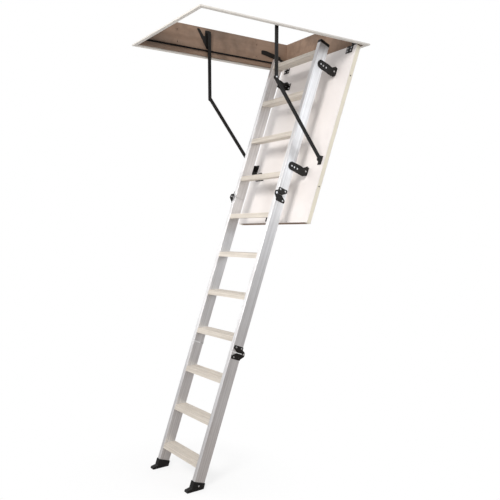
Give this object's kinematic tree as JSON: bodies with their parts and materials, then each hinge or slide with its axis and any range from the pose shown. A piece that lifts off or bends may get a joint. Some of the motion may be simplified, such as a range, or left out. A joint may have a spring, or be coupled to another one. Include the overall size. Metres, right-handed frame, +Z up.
{
  "type": "folding loft ladder",
  "caption": "Ceiling hatch box with an insulated drop-down door carrying a folding aluminium ladder in hinged sections, held open by two-bar stay arms.",
  "frame": {"origin": "centre of the ceiling opening, on the ceiling's underside plane where the trim meets it", "axes": "+X along the opening towards the hatch's hinge end, +Y across it away from the viewer, +Z up"},
  "size_m": [1.2068, 0.746, 2.6963],
  "materials": {
    "raw_board": "raw planed spruce board, matt",
    "trim_paint": "satin greige-white",
    "seal_rubber": "matt black",
    "black_steel": "black powder coat",
    "bright_steel": "zinc plated",
    "door_white": "smooth white",
    "door_edge": "cream primed edge",
    "foam": "insulating foam",
    "plug_dark": "dark screw heads",
    "stile_aluminium": "mill finish extrusion",
    "tread_aluminium": "ribbed anodised extrusion",
    "black_plastic": "moulded black"
  },
  "bodies": {
    "frame": {"side_board_near": "raw_board", "side_board_far": "raw_board", "end_board_hinge": "raw_board", "end_board_latch": "raw_board", "frame_screws": "bright_steel", "trim_side_strips": "trim_paint", "trim_end_strips": "trim_paint", "draught_seal": "seal_rubber", "strike_plate": "black_steel", "hatch_hinge_frame_leaves": "black_steel", "hatch_hinge_pins": "bright_steel", "arm_frame_brackets": "black_steel"},
    "hatch": {"door_room_skin": "door_white", "door_inner_skin": "door_white", "door_insulation": "foam", "door_side_rails": "door_edge", "door_end_rails": "raw_board", "door_edge_screws": "plug_dark", "hatch_hinge_door_leaves": "black_steel", "arm_door_brackets": "black_steel", "latch_case": "black_steel", "ladder_brackets_upper": "black_steel", "ladder_brackets_lower": "black_steel", "hatch_screws": "bright_steel", "stile_1_near": "stile_aluminium", "stile_1_far": "stile_aluminium", "tread_01": "tread_aluminium", "tread_02": "tread_aluminium", "tread_03": "tread_aluminium", "tread_04": "tread_aluminium", "top_end_caps": "black_plastic", "upper_fold_leaves_s1": "black_steel", "upper_fold_pins": "bright_steel", "fold_rivets_s1": "bright_steel"},
    "section_2": {"stile_2_near": "stile_aluminium", "stile_2_far": "stile_aluminium", "tread_05": "tread_aluminium", "tread_06": "tread_aluminium", "tread_07": "tread_aluminium", "tread_08": "tread_aluminium", "upper_fold_leaves_s2": "black_steel", "lower_fold_leaves_s2": "black_steel", "lower_fold_pins": "bright_steel", "fold_rivets_s2": "bright_steel"},
    "section_3": {"stile_3_near": "stile_aluminium", "stile_3_far": "stile_aluminium", "tread_09": "tread_aluminium", "tread_10": "tread_aluminium", "tread_11": "tread_aluminium", "lower_fold_leaves_s3": "black_steel", "fold_rivets_s3": "bright_steel", "foot_near": "black_plastic", "foot_far": "black_plastic"},
    "upper_arm_near": {"upper_arm_near": "black_steel", "elbow_rivet_near": "bright_steel"},
    "upper_arm_far": {"upper_arm_far": "black_steel", "elbow_rivet_far": "bright_steel"},
    "lower_arm_near": {"lower_arm_near": "black_steel"},
    "lower_arm_far": {"lower_arm_far": "black_steel"},
    "latch_bolt": {"latch_bolt": "bright_steel"}
  },
  "joints": [
    {"name": "hatch_hinge", "type": "hinge", "parent": "frame", "child": "hatch", "pos_m": [0.548, 0, -0.005], "axis": [0, 1, 0], "range_deg": [0, 59]},
    {"name": "upper_fold", "type": "hinge", "parent": "hatch", "child": "section_2", "pos_m": [0.01096, 0, -0.85775], "axis": [0, 1, 0], "range_deg": [0, 180]},
    {"name": "lower_fold", "type": "hinge", "parent": "section_2", "child": "section_3", "pos_m": [-0.22751, 0, -1.78192], "axis": [0, -1, 0], "range_deg": [0, 180]},
    {"name": "latch_slide", "type": "slide", "parent": "hatch", "child": "latch_bolt", "axis": [0.342, 0, 0.9397], "range_m": [0, 0.012], "stiffness_N_per_m": 400, "springref_m": -0.006},
    {"name": "upper_arm_pivot_near", "type": "hinge", "parent": "frame", "child": "upper_arm_near", "pos_m": [-0.08, -0.3265, 0.13], "axis": [0, 1, 0], "range_deg": [0, 115.84]},
    {"name": "lower_arm_pivot_near", "type": "hinge", "parent": "hatch", "child": "lower_arm_near", "pos_m": [0.2516, -0.3205, -0.66439], "axis": [0, 1, 0], "range_deg": [-58.61, 0]},
    {"name": "upper_arm_pivot_far", "type": "hinge", "parent": "frame", "child": "upper_arm_far", "pos_m": [-0.08, 0.3265, 0.13], "axis": [0, 1, 0], "range_deg": [0, 115.84]},
    {"name": "lower_arm_pivot_far", "type": "hinge", "parent": "hatch", "child": "lower_arm_far", "pos_m": [0.2516, 0.3205, -0.66439], "axis": [0, 1, 0], "range_deg": [-58.61, 0]}
  ],
  "couplings": [
    {"joint": "lower_fold", "follows": "upper_fold", "ratio": 1},
    {"joint": "upper_arm_pivot_near", "follows": "hatch_hinge", "ratio": 1.96},
    {"joint": "lower_arm_pivot_near", "follows": "hatch_hinge", "ratio": -0.99},
    {"joint": "upper_arm_pivot_far", "follows": "hatch_hinge", "ratio": 1.96},
    {"joint": "lower_arm_pivot_far", "follows": "hatch_hinge", "ratio": -0.99}
  ]
}
